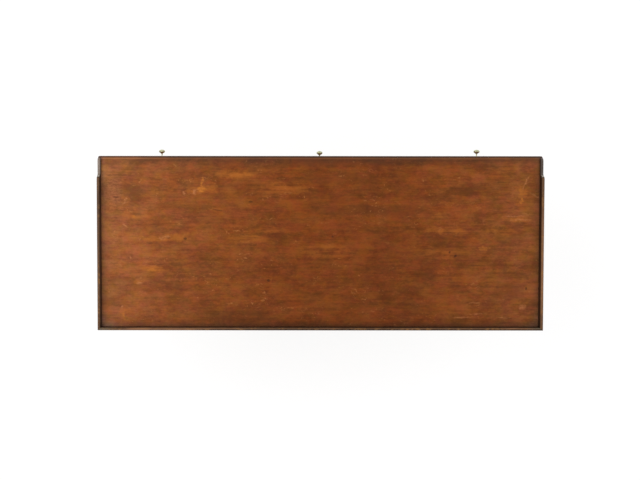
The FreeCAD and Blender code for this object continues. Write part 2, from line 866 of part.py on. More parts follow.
def make_drawer(bay, middle, half, floor, front):
    """A dovetailed drawer with a cockbeaded front, a bottom in grooves and a knob."""
    is_long = bay == "centre"
    opening = s.centre_opening_height if is_long else s.side_opening_height
    tail_count = LONG_DRAWER_TAILS if is_long else DEEP_DRAWER_TAILS
    outside = half - s.drawer_gap
    inside = outside - s.side_thickness
    height = opening - s.drawer_top_gap
    bottom = floor + s.bottom_height
    x = (middle - outside, middle + outside)

    bead = s.cockbead_depth - s.cockbead_proud
    z = (floor + s.drawer_gap, floor + opening - s.drawer_gap)
    frame = board(f"front_{bay}_frame", x, (front + bead, front + s.front_thickness), z)
    field = board(
        f"front_{bay}_field", grown(x, -s.cockbead_thickness), (front, front + bead),
        grown(z, -s.cockbead_thickness),
    )
    panel_x = (middle - inside - s.groove_depth, middle + inside + s.groove_depth)
    panel_z = (bottom, bottom + s.bottom_thickness)
    panel_front = front + s.front_thickness - s.groove_depth
    groove = board(
        f"groove_{bay}", grown(panel_x, s.groove_spare), (panel_front - s.groove_spare, drawer_end), panel_z
    )
    blanks = []
    for name, side in SIDE_SIGNS.items():
        low_x = middle + across(side, inside, outside)[0]
        outline = side_outline(front, floor, height, tail_count)
        blank = prism(f"side_{name}_{bay}_blank", "YZ_Plane", outline, low_x, s.side_thickness)
        blanks.append(blank)
        node = f"drawer_side_{name}_{bay}"
        keep(cut(node, blank, groove), node)

    knob_height = floor + opening / 2
    hole = stem_hole(f"stem_hole_{bay}")
    place(hole, middle, front + s.stem_bite + s.stem_hole_spare, knob_height)
    solid = fuse(f"front_{bay}_blank", frame, field)
    keep(cut(f"drawer_front_{bay}", solid, *blanks, groove, hole), f"drawer_front_{bay}")

    back_z = (bottom + s.bottom_thickness, floor + height - s.back_drop)
    back = board(f"back_{bay}_blank", x, (drawer_end - s.back_thickness, drawer_end), back_z)
    keep(cut(f"drawer_back_{bay}", back, *blanks), f"drawer_back_{bay}")
    panel = board(f"drawer_bottom_{bay}", panel_x, (panel_front, drawer_end), panel_z)
    keep(panel, f"drawer_bottom_{bay}")
    make_cockbead(bay, x, z, front)
    make_knob(bay, middle, front, knob_height)


def make_cockbead(bay, x, z, front):
    """Four mitred strips with a bevelled front edge, let into the rebate round a drawer front."""
    inner_x, inner_z = grown(x, -s.cockbead_thickness), grown(z, -s.cockbead_thickness)
    outer = box_corners(x, z)
    inner = box_corners(inner_x, inner_z)
    strips = []
    for number in range(4):
        following = (number + 1) % 4
        outline = [outer[number], outer[following], inner[following], inner[number]]
        start = front - s.cockbead_proud
        strip = prism(f"bead_{bay}_{number + 1}", "XZ_Plane", outline, start, s.cockbead_depth)
        along = "x" if number % 2 == 0 else "z"
        bevel = s.cockbead_thickness * COCKBEAD_BEVEL_SHARE
        strips.append(bevel_edges(strip, bevel, is_front_of(along)))
    keep(group(f"cockbead_{bay}", strips), f"cockbead_{bay}")


def is_front_of(along):
    """Tests for the two long edges of a strip's front face, in the body's own frame."""

    def chosen(edge):
        across_it = "z" if along == "x" else "x"
        in_front = edge.BoundBox.YMax < TOLERANCE
        return in_front and through(edge, along) > TOLERANCE and through(edge, across_it) < TOLERANCE

    return chosen


def make_knob(bay, x, front, z):
    """A turned brass knob: a plain stem that goes into the drawer front, a cup and a domed end."""
    body = doc.addObject("PartDesign::Body", f"knob_{bay}")
    cup = [
        (-(s.knob_projection * share), s.knob_radius * radius_share)
        for share, radius_share in KNOB_PROFILE_SHARES
    ]
    underside_y, end_y = cup[0][0], cup[-1][0]
    outline = [
        (s.stem_bite, ZERO),
        (s.stem_bite, s.stem_radius),
        (underside_y, s.stem_radius),
        *cup,
        (end_y, ZERO),
    ]
    revolved(body, "YZ_Plane", outline, "H_Axis")
    keep(place(body, x, front, z), f"knob_{bay}")


def stem_hole(name):
    """The round hole for a knob's stem. It runs towards the front from where it is placed."""
    hole = doc.addObject("Part::Cylinder", name)
    bind(hole, "Radius", s.stem_radius + s.stem_fit)
    bind(hole, "Height", s.stem_bite + s.stem_hole_spare)
    hole.Placement = FreeCAD.Placement(FreeCAD.Vector(), FreeCAD.Rotation(FreeCAD.Vector(1, 0, 0), 90))
    return hole


def make_legs():
    for row in ("front", "back"):
        for name, side in SIDE_SIGNS.items():
            make_leg(f"{row}_{name}", side, row)


def write_parts():
    """Checks every object and writes each sub-part to its own file."""
    doc.recompute()
    for thing in doc.Objects:
        if {"Invalid", "Error"} & set(thing.State):
            raise RuntimeError(f"{thing.Name} is {thing.State}")
    os.makedirs("parts", exist_ok=True)
    for node in nodes:
        if node.Shape.isNull() or not node.Shape.isValid() or not node.Shape.Solids:
            raise RuntimeError(f"{node.Label} has no valid shape")
        node.Shape.exportStep(f"parts/{node.Label}.step")
        solids = len(node.Shape.Solids)
        print(f"{node.Label}: {solids} solid(s), {node.Shape.Volume / 1000:.1f} cm3")


make_top()
make_gallery()
make_legs()
make_front_rails()
make_dividers()
make_aprons()
make_knee_brackets()
make_drawer_carriers()
make_fixings()
for bay_name, bay_place in bays().items():
    make_drawer(bay_name, *bay_place)
write_parts()
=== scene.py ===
"""Looks of a writing desk: antiqued mahogany, oak drawer linings and brass knobs, seen from above.

Lengths are metres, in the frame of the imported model: X runs along the desk, the drawers open towards
-Y, and Z is up from the floor.
"""

import json
import math

import bmesh
import bpy
from mathutils import Matrix, Vector


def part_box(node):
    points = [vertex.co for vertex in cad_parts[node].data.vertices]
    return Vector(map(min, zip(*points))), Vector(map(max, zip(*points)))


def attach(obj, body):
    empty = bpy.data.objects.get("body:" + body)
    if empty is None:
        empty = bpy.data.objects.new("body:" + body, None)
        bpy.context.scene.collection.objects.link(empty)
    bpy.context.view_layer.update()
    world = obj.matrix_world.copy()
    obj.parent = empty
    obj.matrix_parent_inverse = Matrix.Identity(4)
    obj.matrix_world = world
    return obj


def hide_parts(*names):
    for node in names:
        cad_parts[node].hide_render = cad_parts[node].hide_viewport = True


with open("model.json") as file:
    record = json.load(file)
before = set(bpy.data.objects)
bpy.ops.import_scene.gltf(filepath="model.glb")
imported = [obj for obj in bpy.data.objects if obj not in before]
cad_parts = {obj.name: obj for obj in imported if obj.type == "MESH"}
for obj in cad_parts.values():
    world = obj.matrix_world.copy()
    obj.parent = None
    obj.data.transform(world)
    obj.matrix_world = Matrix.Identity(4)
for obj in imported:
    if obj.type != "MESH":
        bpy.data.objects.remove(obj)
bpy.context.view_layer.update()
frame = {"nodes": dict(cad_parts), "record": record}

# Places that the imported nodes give
top_low, top_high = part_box("desk_top")
gallery_low, gallery_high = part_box("gallery_left")
gallery_back_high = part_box("gallery_back")[1]
frieze_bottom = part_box("front_rail_left")[0].z
SIDES = ("left", "right")
BAYS = ("left", "centre", "right")

# Sizes that repeat the model's
BLOCK_DROP = 0.012
GALLERY_HOUSING = 0.004
GALLERY_THICKNESS = 0.0095
STEM_BITE = 0.014
surface_height = gallery_low.z + GALLERY_HOUSING
block_bottom = frieze_bottom - BLOCK_DROP

# The camera looks down from over the front of the desk, a little to one side of its middle. Up in the
# picture is the drawers' side.
CAMERA_PLACE = (0.1217, -0.156, 3.770)
CAMERA_TILT = math.radians(2.1)
CAMERA_TURN = math.radians(180.05)
CAMERA_SHIFT = (0.0549, -0.0220)
LENS_MM = 49.5
SENSOR_MM = 36.0

# Light
SOFT_LIGHT = 0.55
LAMPS = {
    "key": {"place": (2.6, -1.2, 4.4), "width": 3.0, "watts": 70.0},
    "fill": {"place": (-2.8, -2.2, 3.6), "width": 2.6, "watts": 32.0},
    "back": {"place": (-0.6, 3.4, 3.4), "width": 2.6, "watts": 28.0},
}
LAMP_TARGET = Vector((0.0, 0.0, 0.6))
FLOOR_WIDTH = 40.0

WHITE = (1.0, 1.0, 1.0, 1.0)

# Patterns of noise: how often each repeats in a metre along and across the grain, then its detail,
# roughness and distortion
PATTERNS = {
    "bands": (1.6, 9.0, 3.0, 0.5, 0.4),
    "streaks": (6.0, 95.0, 4.0, 0.62, 0.3),
    "pores": (45.0, 900.0, 2.0, 0.5, 0.0),
    "amber": (5.0, 30.0, 4.0, 0.6, 0.3),
    "clouds": (9.0, 13.0, 4.0, 0.62, 0.5),
    "mottle": (30.0, 58.0, 3.0, 0.6, 0.3),
    "flecks": (80.0, 170.0, 4.0, 0.7, 0.0),
    "drift": (21.0, 37.0, 4.0, 0.7, 0.4),
    "warmth": (26.0, 30.0, 3.0, 0.6, 0.0),
    "clusters": (14.0, 22.0, 3.0, 0.6, 0.0),
    "chips": (62.0, 105.0, 4.0, 0.65, 1.2),
    "sway": (15.0, 15.0, 5.0, 0.7, 0.0),
    "rubs": (60.0, 60.0, 3.0, 0.7, 0.0),
    "tarnish": (260.0, 260.0, 4.0, 0.6, 0.0),
    "polishing": (0.0, 1400.0, 1.0, 0.5, 0.0),
    "plastic": (300.0, 300.0, 3.0, 0.5, 0.0),
}


def srgb(red, green, blue):
    """A colour as a screen shows it, 0 to 255, in the linear values that shaders take."""
    channels = [value / 255 for value in (red, green, blue)]
    return (*[v / 12.92 if v <= 0.04045 else ((v + 0.055) / 1.055) ** 2.4 for v in channels], 1.0)


class Graph:
    """The nodes of one material or world, with short ways to add and join them."""

    def __init__(self, owner):
        owner.use_nodes = True
        self.owner = owner
        self.nodes = owner.node_tree.nodes
        self.links = owner.node_tree.links

    def feed(self, socket, value):
        """Sets a socket, or joins another socket to it."""
        if isinstance(value, bpy.types.NodeSocket):
            self.links.new(value, socket)
        else:
            socket.default_value = value

    def add(self, kind, inputs=None, **settings):
        """A new node. The inputs are numbers, colours or other sockets, by name or number."""
        node = self.nodes.new(kind)
        for name, value in settings.items():
            setattr(node, name, value)
        for key, value in (inputs or {}).items():
            self.feed(node.inputs[key], value)
        return node

    def math(self, operation, first, second=0.0):
        inputs = {0: first, 1: second}
        return self.add("ShaderNodeMath", inputs, operation=operation).outputs[0]

    def product(self, first, *others):
        """All the values multiplied together."""
        total = first
        for value in others:
            total = self.math("MULTIPLY", total, value)
        return total

    def rest(self, value):
        """What the value leaves of 1."""
        return self.math("SUBTRACT", 1.0, value)

    def mix(self, share, first, second, blend="MIX"):
        """Two colours mixed: all first at a share of 0, all second at 1."""
        inputs = {0: share, 6: first, 7: second}
        node = self.add("ShaderNodeMix", inputs, data_type="RGBA", blend_type=blend)
        return node.outputs[2]

    def step(self, value, low, high):
        """Goes smoothly from 0 at low to 1 at high, and stays so past them. High may be the smaller."""
        inputs = {"Value": value, "From Min": low, "From Max": high}
        return self.add("ShaderNodeMapRange", inputs, interpolation_type="SMOOTHSTEP").outputs["Result"]

    def fade(self, value, near, far):
        """1 where the value is near, 0 where it is far, and smooth between."""
        return self.step(value, far, near)

    def span(self, value, low, high):
        """A share of 0 to 1 taken to a low and high number."""
        inputs = {"Value": value, "To Min": low, "To Max": high}
        return self.add("ShaderNodeMapRange", inputs).outputs["Result"]

    def point(self):
        """The point of the surface, in the desk's frame at rest."""
        return self.add("ShaderNodeTexCoord").outputs["Object"]

    def pattern(self, vector, name):
        """One of the patterns of noise, from 0 to 1."""
        along, across, detail, roughness, distortion = PATTERNS[name]
        inputs = {0: vector, 1: (along, across, across)}
        stretched = self.add("ShaderNodeVectorMath", inputs, operation="MULTIPLY").outputs[0]
        inputs = {
            "Vector": stretched, "Scale": 1.0, "Detail": detail, "Roughness": roughness,
            "Distortion": distortion,
        }
        return self.add("ShaderNodeTexNoise", inputs).outputs[0]

    def ramp(self, value, stops):
        """Colours at places from 0 to 1. Stops are added halfway, and then each gets its place."""
        node = self.add("ShaderNodeValToRGB", {0: value})
        elements = node.color_ramp.elements
        while len(elements) < len(stops):
            elements.new(0.5)
        for element, (place, colour) in zip(elements, stops):
            element.position = place
            element.color = colour
        return node.outputs[0]


def new_material(name):
    graph = Graph(bpy.data.materials.new(name))
    return graph, graph.nodes["Principled BSDF"]


def parts_of_point(graph):
    """X, Y and Z of the point, in the desk's frame at rest."""
    return graph.add("ShaderNodeSeparateXYZ", {0: graph.point()}).outputs


# How far the grain of one board may be shifted from that of another
GRAIN_SHIFT = 17.0


def grain_coordinates(graph, grain):
    """The point with its part along the grain first, shifted by another amount on each board."""
    parts = parts_of_point(graph)
    along, across, over = {"X": "XYZ", "Y": "YXZ", "Z": "ZXY"}[grain]
    chance = graph.add("ShaderNodeObjectInfo").outputs["Random"]
    shift = graph.product(chance, GRAIN_SHIFT)
    inputs = {
        0: graph.math("ADD", parts[along], shift),
        1: graph.math("ADD", parts[across], shift),
        2: parts[over],
    }
    return graph.add("ShaderNodeCombineXYZ", inputs).outputs[0]


# Each wood and finish: how far its figure departs from its tone, its roughness and gloss, and the
# depth of its pores
WOODS = {
    "board": {"contrast": 0.36, "roughness": 0.40, "gloss": 0.30, "pore_depth": 0.00012},
    "gallery": {"contrast": 0.35, "roughness": 0.36, "gloss": 0.15, "pore_depth": 0.00012},
    "top": {"contrast": 0.38, "roughness": 0.42, "gloss": 0.10, "pore_depth": 0.00012},
    "oak": {"contrast": 0.22, "roughness": 0.62, "gloss": 0.30, "pore_depth": 0.0002},
    "poplar": {"contrast": 0.18, "roughness": 0.70, "gloss": 0.30, "pore_depth": 0.0002},
}

# The figure of a plain board as shares of its patterns, and the levels between which it shows
FIGURE_SHARES = {"bands": 0.42, "streaks": 0.40, "pores": 0.18}
FIGURE_LEVELS = (0.36, 0.64)

# How the pores change the roughness, and the share of their depth that the relief shows
PORE_ROUGHNESS = (-0.07, 0.09)
PORE_RELIEF_SHARE = 0.5


def patterns_of(graph, place, names):
    """Several patterns of noise at one place, by name."""
    return {name: graph.pattern(place, name) for name in names}


def weighted(graph, fields, shares):
    """The sum of the named fields, each times its share. The shares add up to 1."""
    total = 0.0
    for name, share in shares.items():
        total = graph.math("ADD", total, graph.product(fields[name], share))
    return total


def shade_of(graph, wood, figure, shares=FIGURE_SHARES, levels=FIGURE_LEVELS):
    """How much lighter or darker than its tone the wood is at each point."""
    contrast = WOODS[wood]["contrast"]
    return graph.span(graph.step(weighted(graph, figure, shares), *levels), 1 - contrast, 1 + contrast)


def finish_wood(graph, shader, wood, colour, pores):
    """Joins the colour, and gives the surface its gloss and the roughness and relief of its pores."""
    finish = WOODS[wood]
    low, high = PORE_ROUGHNESS
    graph.feed(shader.inputs["Base Color"], colour)
    rough = graph.span(pores, finish["roughness"] + low, finish["roughness"] + high)
    graph.feed(shader.inputs["Roughness"], rough)
    inputs = {"Height": pores, "Strength": PORE_RELIEF_SHARE, "Distance": finish["pore_depth"]}
    graph.feed(shader.inputs["Normal"], graph.add("ShaderNodeBump", inputs).outputs[0])
    shader.inputs["Specular IOR Level"].default_value = finish["gloss"]


def scaled(graph, colour, share):
    """The colour times a number that varies over the surface."""
    grey = graph.add("ShaderNodeCombineColor", {0: share, 1: share, 2: share}).outputs[0]
    return graph.mix(1.0, colour, grey, "MULTIPLY")


def painted(graph, colour, paint, *shares):
    """The colour with paint over it, which covers it by the product of the shares."""
    return graph.mix(graph.product(*shares), colour, paint)


# Reach of the rubbed outer edges and of the painted shade in inner corners, where occlusion finds nearby
# surfaces, the levels between which they show, and how far they change the colour
OCCLUSION_SAMPLES = 4
EDGE_WEAR_REACH = 0.003
EDGE_WEAR_LEVELS = (0.3, 0.7)
EDGE_WEAR_SHARE = 0.45
PAINTED_CORNER_SHADE_REACH = 0.012
PAINTED_CORNER_SHADE_LEVELS = (0.35, 0.95)
PAINTED_CORNER_SHADE_SPAN = (0.45, 1.0)


def worn_edges_and_painted_corner_shade(graph, colour, wear):
    """Lighter, rubbed colour along the outer edges, and painted shade in the inner corners."""
    settings = {"samples": OCCLUSION_SAMPLES, "inside": True, "only_local": True}
    outer = graph.add("ShaderNodeAmbientOcclusion", {"Distance": EDGE_WEAR_REACH}, **settings)
    rubbed = graph.step(graph.rest(outer.outputs["AO"]), *EDGE_WEAR_LEVELS)
    colour = painted(graph, colour, wear, rubbed, EDGE_WEAR_SHARE)
    # Painted shade: the colour darkened in inner corners, where occlusion finds nearby surfaces
    inputs = {"Distance": PAINTED_CORNER_SHADE_REACH}
    inner = graph.add("ShaderNodeAmbientOcclusion", inputs, samples=OCCLUSION_SAMPLES)
    open_share = graph.step(inner.outputs["AO"], *PAINTED_CORNER_SHADE_LEVELS)
    return scaled(graph, colour, graph.span(open_share, *PAINTED_CORNER_SHADE_SPAN))


MAHOGANY_TONE = srgb(128, 70, 34)
MAHOGANY_WORN = srgb(176, 112, 62)
MAHOGANY_AMBER = srgb(170, 98, 42)
AMBER_LEVELS = (0.52, 0.72)
AMBER_SHARE = 0.45


def make_mahogany(grain):
    """The polished wood of the legs and of every board but the top and its gallery."""
    graph, shader = new_material(f"mahogany_{grain}")
    place = grain_coordinates(graph, grain)
    figure = patterns_of(graph, place, FIGURE_SHARES)
    colour = scaled(graph, MAHOGANY_TONE, shade_of(graph, "board", figure))
    amber = graph.step(graph.pattern(place, "amber"), *AMBER_LEVELS)
    colour = painted(graph, colour, MAHOGANY_AMBER, amber, AMBER_SHARE)
    # Rubbed edges, and painted shade in the inner corners
    colour = worn_edges_and_painted_corner_shade(graph, colour, MAHOGANY_WORN)
    finish_wood(graph, shader, "board", colour, figure["pores"])
    return graph.owner


# The tone of the top along its length, from the sitter's right to the left
TOP_TONES = (
    (0.00, srgb(156, 92, 51)),
    (0.12, srgb(146, 81, 39)),
    (0.26, srgb(133, 71, 29)),
    (0.44, srgb(120, 60, 20)),
    (0.66, srgb(116, 58, 20)),
    (0.82, srgb(128, 67, 27)),
    (1.00, srgb(138, 78, 38)),
)

# Patches and marks of the top: place, reach along and across, strength, and lean from the X axis in
# degrees
AMBER_PATCHES = (
    ((0.408, -0.172), (0.042, 0.013), 0.6, 0),
    ((0.290, -0.222), (0.058, 0.013), 0.7, 0),
    ((0.672, -0.138), (0.012, 0.026), 0.4, 0),
    ((0.640, -0.080), (0.045, 0.014), 0.4, 0),
    ((0.535, -0.003), (0.075, 0.012), 0.7, 0),
    ((0.584, 0.104), (0.040, 0.012), 0.7, 0),
    ((0.622, 0.146), (0.014, 0.009), 0.5, 0),
    ((0.677, 0.246), (0.012, 0.030), 0.4, 0),
    ((0.130, -0.172), (0.085, 0.022), 0.4, 0),
    ((0.245, 0.000), (0.060, 0.014), 0.4, 0),
    ((-0.692, -0.146), (0.016, 0.028), 0.6, 0),
    ((-0.680, -0.068), (0.045, 0.008), 0.5, 0),
    ((-0.400, -0.084), (0.022, 0.010), 0.5, 0),
    ((-0.438, -0.026), (0.065, 0.010), 0.5, 0),
    ((-0.430, 0.042), (0.090, 0.020), 0.3, 0),
    ((-0.010, 0.042), (0.090, 0.020), 0.3, 0),
    ((-0.635, -0.030), (0.050, 0.012), 0.35, 0),
    ((0.180, -0.032), (0.055, 0.012), 0.3, 0),
)
AMBER_MARKS = (
    ((0.405, -0.195), (0.015, 0.0054), 0.63, 90),
    ((0.402, -0.170), (0.012, 0.0078), 0.90, 0),
    ((0.450, -0.163), (0.013, 0.0054), 0.45, 0),
    ((0.639, -0.074), (0.010, 0.0060), 0.45, 0),
    ((0.587, 0.109), (0.018, 0.0060), 0.54, 0),
    ((0.674, 0.263), (0.018, 0.0042), 0.45, 90),
    ((-0.562, 0.031), (0.018, 0.0072), 0.36, 0),
    ((-0.696, -0.132), (0.015, 0.0045), 0.54, 90),
)
PALE_MARKS = (
    ((0.428, -0.160), (0.007, 0.0069), 0.68, 0),
    ((0.469, -0.157), (0.009, 0.0030), 0.57, 130),
    ((0.668, -0.136), (0.008, 0.0036), 0.57, 90),
    ((0.676, -0.121), (0.013, 0.0030), 0.51, 25),
    ((0.670, -0.046), (0.010, 0.0033), 0.57, 149),
    ((0.536, -0.005), (0.018, 0.0060), 0.45, 0),
    ((0.722, -0.195), (0.007, 0.0030), 0.45, 90),
    ((-0.710, -0.193), (0.023, 0.0032), 0.51, 62),
    ((-0.734, -0.152), (0.013, 0.0030), 0.39, 139),
    ((-0.670, -0.079), (0.027, 0.0028), 0.39, 0),
    ((-0.687, -0.067), (0.030, 0.0026), 0.39, 0),
    ((-0.711, -0.086), (0.015, 0.0026), 0.33, 0),
    ((0.654, 0.065), (0.005, 0.0032), 0.57, 90),
    ((0.620, 0.151), (0.010, 0.0050), 0.68, 160),
    ((0.685, 0.234), (0.006, 0.0035), 0.57, 110),
    ((-0.692, 0.234), (0.009, 0.0078), 0.39, 0),
    ((-0.491, 0.270), (0.027, 0.0026), 0.39, 0),
    ((-0.539, 0.259), (0.027, 0.0026), 0.33, 0),
    ((-0.641, 0.270), (0.018, 0.0026), 0.33, 0),
    ((-0.532, 0.219), (0.018, 0.0026), 0.33, 0),
    ((0.715, -0.165), (0.034, 0.0600), 0.30, 0),
)
DARK_PATCHES = (
    ((-0.484, -0.166), (0.050, 0.015), 0.7, 0),
    ((-0.408, -0.138), (0.050, 0.014), 0.6, 0),
    ((-0.060, -0.130), (0.035, 0.024), 0.4, 0),
    ((-0.080, -0.210), (0.110, 0.020), 0.4, 0),
    ((0.470, -0.110), (0.080, 0.020), 0.3, 0),
    ((0.560, 0.165), (0.080, 0.018), 0.35, 0),
    ((0.290, 0.270), (0.120, 0.022), 0.6, 0),
    ((-0.440, -0.005), (0.070, 0.012), 0.35, 0),
    ((-0.659, 0.128), (0.030, 0.016), 0.4, 0),
    ((0.208, -0.106), (0.006, 0.0130), 0.5, 0),
    ((-0.170, -0.100), (0.190, 0.019), 0.8, 0),
    ((-0.020, -0.262), (0.200, 0.014), 0.6, 0),
    ((-0.655, 0.178), (0.055, 0.028), 0.8, 0),
    ((0.715, 0.228), (0.035, 0.020), 0.5, 0),
)
DENTS = (
    ((0.464, -0.001), (0.005, 0.0040), 0.9, 0),
    ((-0.043, -0.009), (0.004, 0.0030), 0.9, 0),
    ((0.177, 0.143), (0.005, 0.0040), 0.9, 0),
    ((-0.448, 0.044), (0.004, 0.0030), 0.9, 60),
    ((-0.466, 0.058), (0.005, 0.0030), 0.9, 40),
    ((-0.713, 0.171), (0.005, 0.0028), 0.9, 100),
    ((0.703, -0.144), (0.011, 0.0028), 0.7, 0),
    ((0.240, -0.127), (0.006, 0.0030), 0.7, 0),
    ((0.354, -0.100), (0.021, 0.0024), 0.6, 170),
    ((-0.621, -0.195), (0.022, 0.0022), 0.5, 0),
    ((-0.539, 0.091), (0.024, 0.0022), 0.5, 0),
)


# How far noise moves the outlines of the patches, marks and dents along the top, and what share of
# that across it
PATCH_SWAY = 0.06
MARK_SWAY = 0.03
DENT_SWAY = 0.012
ACROSS_SWAY_SHARE = 0.5

# The square of the distance at which a patch has faded out, in its own reaches
PATCH_END = 2.2


def swayed(graph, parts, sway):
    """A point of the top moved about by noise, so that what is drawn there has a ragged outline."""
    moved = {}
    for axis, other, distance in (("X", "Y", sway), ("Y", "X", sway * ACROSS_SWAY_SHARE)):
        inputs = {0: parts[axis], 1: parts[other]}
        vector = graph.add("ShaderNodeCombineXYZ", inputs).outputs[0]
        noise = graph.pattern(vector, "sway")
        moved[axis] = graph.math("ADD", parts[axis], graph.span(noise, -distance, distance))
    return graph.add("ShaderNodeCombineXYZ", {0: moved["X"], 1: moved["Y"]}).outputs[0]


def spots(graph, place, table):
    """How much of each patch of the table reaches a point, the strongest where they meet."""
    total = 0.0
    for middle, reach, strength, lean in table:
        inputs = {0: place, 1: (*middle, 0.0)}
        offset = graph.add("ShaderNodeVectorMath", inputs, operation="SUBTRACT").outputs[0]
        turn = math.radians(lean)
        distance = 0.0
        for length, angle in zip(reach, (turn, turn + math.pi / 2)):
            axis = (math.cos(angle) / length, math.sin(angle) / length, 0.0)
            inputs = {0: offset, 1: axis}
            shadow = graph.add("ShaderNodeVectorMath", inputs, operation="DOT_PRODUCT").outputs["Value"]
            distance = graph.math("ADD", distance, graph.math("POWER", shadow, 2.0))
        near = graph.product(graph.fade(distance, 0.0, PATCH_END), strength)
        total = graph.math("MAXIMUM", total, near)
    return total


# The tint of the top drifts between redder and more olive patches, and between warmer and cooler ones
REDDER = (1.035, 0.915, 0.98, 1.0)
MORE_OLIVE = (0.97, 1.095, 0.93, 1.0)
WARMER = (1.0, 1.0, 0.80, 1.0)
COOLER = (1.0, 1.0, 1.20, 1.0)
TINT_LEVELS = (0.34, 0.66)


def tinted(graph, colour, field, low, high):
    """The colour multiplied by another colour that follows a field from low to high."""
    tint = graph.mix(graph.step(field, *TINT_LEVELS), low, high)
    return graph.mix(1.0, colour, tint, "MULTIPLY")


# The grain breaks up the amber patches, and flecks make the marks ragged: the levels between which
# they do, and the least and most that stays
BREAK_SHARES = {"streaks": 0.5, "mottle": 0.5}
BREAK_LEVELS = (0.36, 0.60)
BREAK_SPAN = (0.1, 1.0)
RAGGED_LEVELS = (0.38, 0.60)
RAGGED_SPAN = (0.25, 1.0)

# Pale chips lie in clusters, fewer of them towards the left
CLUSTER_LEVELS = (0.46, 0.66)
CHIP_LEVELS = (0.56, 0.72)
CHIP_SHARES = (1.0, 0.45)

# Colours of the patches, chips, marks and dents, and how far the patches and the dents cover
PATCH_AMBER = srgb(188, 108, 40)
PATCH_AMBER_SHARE = 0.85
MARK_AMBER = srgb(204, 122, 44)
PATCH_DARK = srgb(84, 44, 20)
PATCH_DARK_SHARE = 0.5
CHIP_PALE = srgb(190, 120, 66)
MARK_PALE = srgb(202, 130, 80)
DENT_DARK = srgb(44, 26, 14)
DENT_SHARE = 0.75


def marked(graph, colour, parts, place, figure, from_right):
    """The colour of the top with its patches, chips, marks and dents."""
    near_patches = swayed(graph, parts, PATCH_SWAY)
    broken = graph.step(weighted(graph, figure, BREAK_SHARES), *BREAK_LEVELS)
    broken = graph.span(broken, *BREAK_SPAN)
    amber = spots(graph, near_patches, AMBER_PATCHES)
    colour = painted(graph, colour, PATCH_AMBER, amber, broken, PATCH_AMBER_SHARE)
    near_marks = swayed(graph, parts, MARK_SWAY)
    ragged = graph.span(graph.step(figure["flecks"], *RAGGED_LEVELS), *RAGGED_SPAN)
    colour = painted(graph, colour, MARK_AMBER, spots(graph, near_marks, AMBER_MARKS), ragged)
    dark = spots(graph, near_patches, DARK_PATCHES)
    colour = painted(graph, colour, PATCH_DARK, dark, PATCH_DARK_SHARE)
    clusters = graph.step(graph.pattern(place, "clusters"), *CLUSTER_LEVELS)
    chips = graph.step(graph.pattern(place, "chips"), *CHIP_LEVELS)
    fewer = graph.span(from_right, *CHIP_SHARES)
    colour = painted(graph, colour, CHIP_PALE, chips, clusters, fewer)
    colour = painted(graph, colour, MARK_PALE, spots(graph, near_marks, PALE_MARKS), ragged)
    dents = spots(graph, swayed(graph, parts, DENT_SWAY), DENTS)
    return painted(graph, colour, DENT_DARK, dents, DENT_SHARE)


# The front edge, in distances from the front of the top: the dirt and how ragged it is, a painted
# highlight along the arris, and the darker, greyer lip. Past these places along X the edge is cleaner
# and the painted highlight stronger, and the shares go from the dirty stretch to the cleaner one.
CLEANER_END = (0.50, 0.66)
FRONT_DIRT = srgb(56, 42, 32)
FRONT_DIRT_SWAY = 0.016
FRONT_DIRT_SPAN = (-0.012, 0.050)
FRONT_DIRT_SHARES = (0.78, 0.25)
ARRIS_PAINTED_HIGHLIGHT = srgb(190, 128, 84)
ARRIS_PLACE = 0.0085
ARRIS_SPAN = (0.001, 0.0035)
ARRIS_SHARES = (0.14, 0.42)
LIP_DARKENING = srgb(62, 50, 42)
LIP_SPAN = (0.0035, 0.0075)
LIP_SHARE = 0.55


def dirty_front_and_painted_arris(graph, colour, parts, clouds):
    """The colour of the top with the dirt along its front edge, a painted highlight along the arris, and
    a darker lip.
    """
    from_front = graph.math("SUBTRACT", parts["Y"], top_low.y)
    cleaner = graph.step(parts["X"], *CLEANER_END)
    ragged = graph.math("ADD", from_front, graph.span(clouds, -FRONT_DIRT_SWAY, FRONT_DIRT_SWAY))
    dirt = graph.fade(ragged, *FRONT_DIRT_SPAN)
    colour = painted(graph, colour, FRONT_DIRT, dirt, graph.span(cleaner, *FRONT_DIRT_SHARES))
    # Painted highlight: a pale line along the arris of the front moulding
    from_arris = graph.math("ABSOLUTE", graph.math("SUBTRACT", from_front, ARRIS_PLACE))
    arris = graph.fade(from_arris, *ARRIS_SPAN)
    colour = painted(graph, colour, ARRIS_PAINTED_HIGHLIGHT, arris, graph.span(cleaner, *ARRIS_SHARES))
    # The outermost strip of the front edge painted darker and greyer
    lip = graph.fade(from_front, *LIP_SPAN)
    return painted(graph, colour, LIP_DARKENING, lip, LIP_SHARE)


# Where a normal counts as looking up, by its Z
UPWARD_LEVELS = (0.3, 0.6)


def facing_up(graph):
    """1 on the faces that look up, and 0 on the upright ones."""
    normal = graph.add("ShaderNodeNewGeometry").outputs["Normal"]
    upward = graph.add("ShaderNodeSeparateXYZ", {0: normal}).outputs["Z"]
    return graph.step(upward, *UPWARD_LEVELS)


# Along the gallery, in distances from its inside: the shade in front of the back board, the tint of
# the dust and of the thicker dust in the back corners, the grey rim along the ends, and the browner
# upright faces
BACK_SHADE = srgb(62, 38, 24)
BACK_SHADE_SPAN = (-0.004, 0.022)
BACK_SHADE_SHARE = 0.5
DUST = (1.0, 1.16, 1.55, 1.0)
DUST_SPAN = (0.0, 0.022)
CORNER_DUST = (1.15, 1.50, 2.40, 1.0)
CORNER_DUST_SPAN = (0.0, 0.075)
RIM_GREY = srgb(70, 56, 48)
RIM_SPAN = (0.0, 0.006)
RIM_SHARE = 0.25
OUTSIDE_BROWN = srgb(92, 52, 28)
UPRIGHT_SHARE = 0.6


